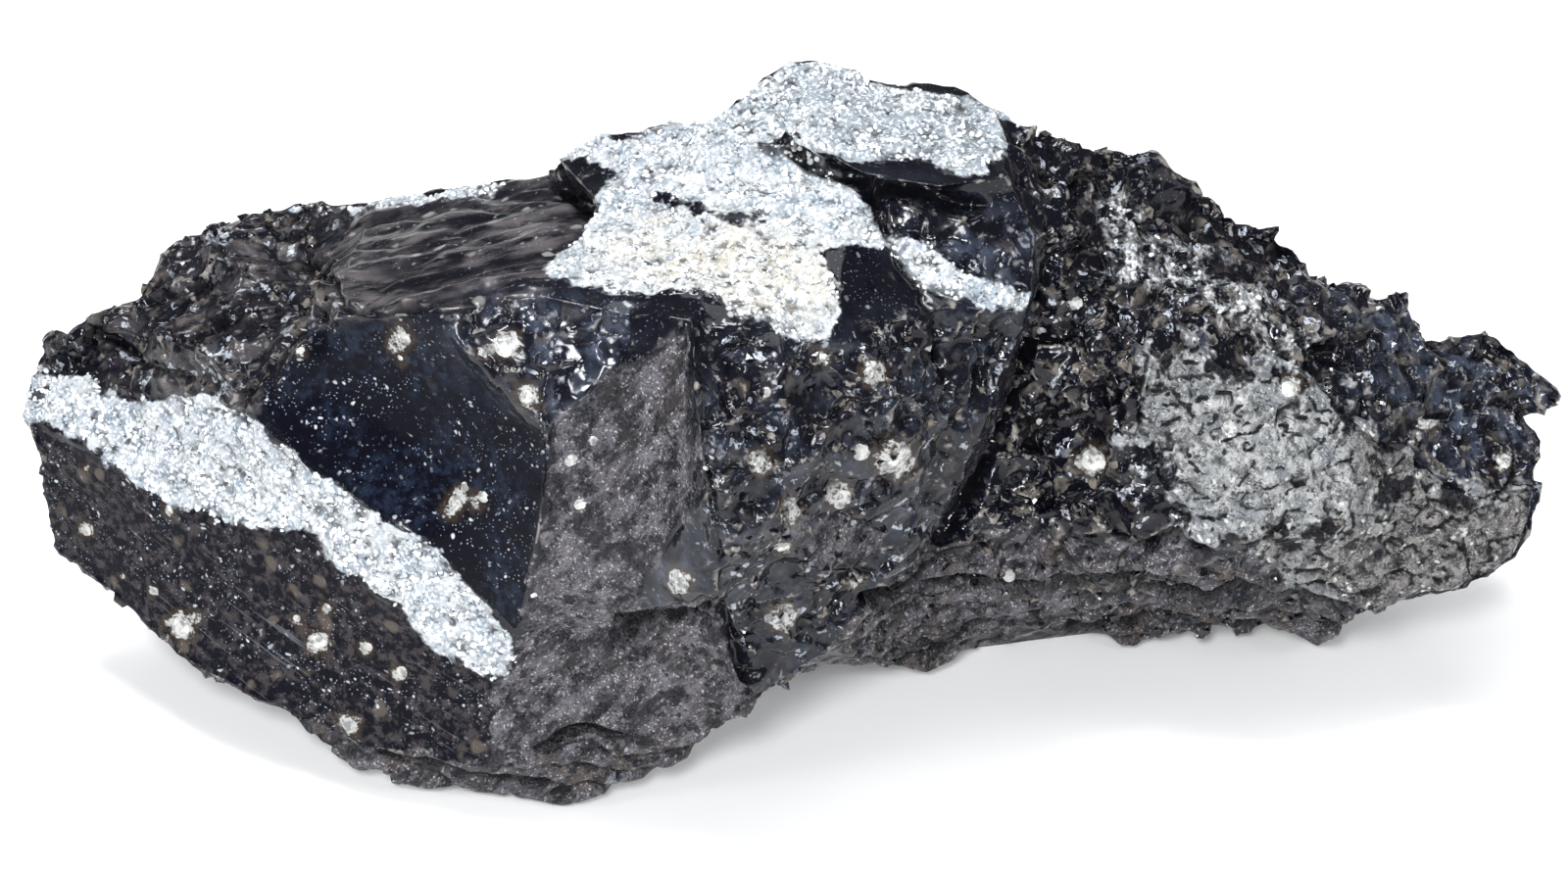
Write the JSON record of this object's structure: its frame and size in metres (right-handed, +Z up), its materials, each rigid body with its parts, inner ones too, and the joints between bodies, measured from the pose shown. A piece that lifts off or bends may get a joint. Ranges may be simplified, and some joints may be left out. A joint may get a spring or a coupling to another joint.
{
  "type": "obsidian specimen",
  "caption": "Long angular lump of black volcanic glass with pale flow bands and shell-shaped fracture scars, resting on a small flat spot.",
  "frame": {"origin": "centre of the bounding box in plan, at the height of the flat spot that it rests on", "axes": "+X along its length, towards the rough end; -Y towards the side with the great scar; +Z up"},
  "size_m": [0.1832, 0.0732, 0.077],
  "materials": {
    "obsidian": "glossy black glass, with matt grey-brown and sugary white bands"
  },
  "bodies": {
    "root": {"obsidian_specimen": "obsidian"}
  },
  "joints": []
}
